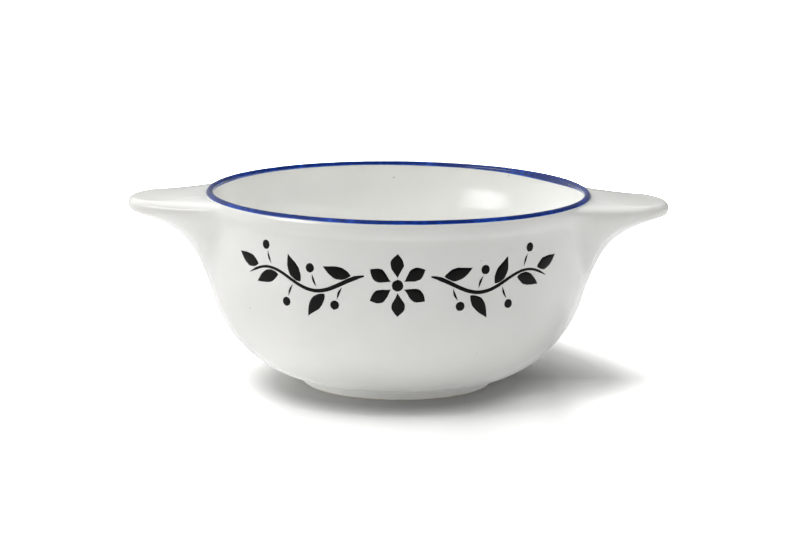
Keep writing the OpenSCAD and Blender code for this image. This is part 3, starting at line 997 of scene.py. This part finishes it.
# %% Blue material
blue, tree, output = new_material("cobalt blue under gloss, brushed")
where = add_node(tree, "ShaderNodeTexCoord").outputs["Object"]
edge = add_node(tree, "ShaderNodeAttribute", attribute_name="edge")
streak = add_node(tree, "ShaderNodeTexNoise",
                  {"Vector": where, "Scale": 1 / (2.4 * MM), "Detail": 3.0})
wide = add_node(tree, "ShaderNodeTexNoise",
                {"Vector": where, "Scale": 1 / (16 * MM), "Detail": 2.0})
depth = add_node(tree, "ShaderNodeMapRange",
                 {"Value": edge.outputs["Fac"], "From Min": 0.0, "From Max": 0.55})
depth_mix = add_node(tree, "ShaderNodeMath", {0: depth, 1: streak.outputs["Fac"]},
                     operation="MULTIPLY")
depth_more = add_node(tree, "ShaderNodeMath", {0: depth_mix, 1: wide.outputs["Fac"]},
                      operation="ADD")
shade = add_node(tree, "ShaderNodeValToRGB", {"Fac": depth_more})
shade.color_ramp.elements.new(0.75)
for stop, place, code in zip(shade.color_ramp.elements, (0.45, 0.75, 1),
                             ("2a5ccc", "1440a4", "092a74")):
    stop.position, stop.color = place, linear(code)
blue_skin = add_node(tree, "ShaderNodeBsdfPrincipled",
                     {"Base Color": shade.outputs["Color"], "Roughness": 0.16, "IOR": 1.52,
                      "Coat Weight": 0.3, "Coat Roughness": 0.05, "Coat IOR": 1.5})
tree.links.new(blue_skin.outputs[0], output.inputs["Surface"])
blue_line.data.materials.append(blue)
print(blue.name, "has", len(tree.nodes), "nodes")

# %% [markdown]
# ## Manganese black, brushed
# Manganese with iron gives a warm black. It is laid on thickly, so no white comes through,
# and it is only a trace browner in places. Its gloss is lower than that of the white, because
# the pigment stiffens the melt.

# %% Black material
black, tree, output = new_material("manganese black, brushed")
where = add_node(tree, "ShaderNodeTexCoord").outputs["Object"]
grainy = add_node(tree, "ShaderNodeTexNoise",
                  {"Vector": where, "Scale": 1 / (1.6 * MM), "Detail": 3.0})
ink = add_node(tree, "ShaderNodeValToRGB", {"Fac": grainy.outputs["Fac"]})
for stop, place, code in zip(ink.color_ramp.elements, (0.35, 0.75), ("030303", "0c0b08")):
    stop.position, stop.color = place, linear(code)
ink_bump = add_node(tree, "ShaderNodeBump",
                    {"Height": grainy.outputs["Fac"], "Strength": 0.2, "Distance": 0.05 * MM})
ink_skin = add_node(tree, "ShaderNodeBsdfPrincipled",
                    {"Base Color": ink.outputs["Color"], "Roughness": 0.3, "IOR": 1.5,
                     "Specular IOR Level": 0.15, "Normal": ink_bump})
tree.links.new(ink_skin.outputs[0], output.inputs["Surface"])
for piece in (leaf_strokes, stem_strokes, berry_dots, flower_strokes):
    piece.data.materials.append(black)
print(black.name, "has", len(tree.nodes), "nodes")

# %% [markdown]
# ## Fired earthenware
# The foot's ring and the hollow under the bowl are bare clay. It is buff, dry and matt, with
# grains of sand and the fine rings that the turning tool left. The CAD nodes already have
# the right shape, so they only get this material.

# %% Clay material
clay, tree, output = new_material("buff earthenware, fired and unglazed")
where = add_node(tree, "ShaderNodeTexCoord").outputs["Object"]
body_noise = add_node(tree, "ShaderNodeTexNoise",
                      {"Vector": where, "Scale": 1 / (9 * MM), "Detail": 4.0})
body_tone = add_node(tree, "ShaderNodeValToRGB", {"Fac": body_noise.outputs["Fac"]})
for stop, place, code in zip(body_tone.color_ramp.elements, (0.3, 0.7), ("cbbfad", "ded4c2")):
    stop.position, stop.color = place, linear(code)
sand = add_node(tree, "ShaderNodeTexVoronoi",
                {"Vector": where, "Scale": 1 / (0.8 * MM)})
sand_part = add_node(tree, "ShaderNodeMapRange",
                     {"Value": sand.outputs["Distance"], "From Min": 0.1, "From Max": 0.3,
                      "To Min": 0.45, "To Max": 0.0})
sanded = add_node(tree, "ShaderNodeMix",
                  {0: sand_part, 6: body_tone.outputs["Color"], 7: linear("a08264")},
                  data_type="RGBA")
flat_place = add_node(tree, "ShaderNodeVectorMath", {0: where, 1: (1, 1, 0)},
                      operation="MULTIPLY")
from_axis = add_node(tree, "ShaderNodeVectorMath", {0: flat_place}, operation="LENGTH")
turned = add_node(tree, "ShaderNodeMath",
                  {0: from_axis.outputs["Value"], 1: 2 * math.pi / (0.9 * MM)},
                  operation="MULTIPLY")
rings = add_node(tree, "ShaderNodeMath", {0: turned}, operation="SINE")
ring_bump = add_node(tree, "ShaderNodeBump",
                     {"Height": rings, "Strength": 0.25, "Distance": 0.05 * MM})
sand_bump = add_node(tree, "ShaderNodeBump",
                     {"Height": sand.outputs["Distance"], "Strength": 0.4,
                      "Distance": 0.12 * MM, "Normal": ring_bump})
clay_skin = add_node(tree, "ShaderNodeBsdfPrincipled",
                     {"Base Color": sanded.outputs[2], "Roughness": 0.85, "IOR": 1.5,
                      "Normal": sand_bump})
tree.links.new(clay_skin.outputs[0], output.inputs["Surface"])
for name in ("bowl_body", "foot_ring"):
    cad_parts[name].data.materials[0] = clay
print(clay.name, "has", len(tree.nodes), "nodes")
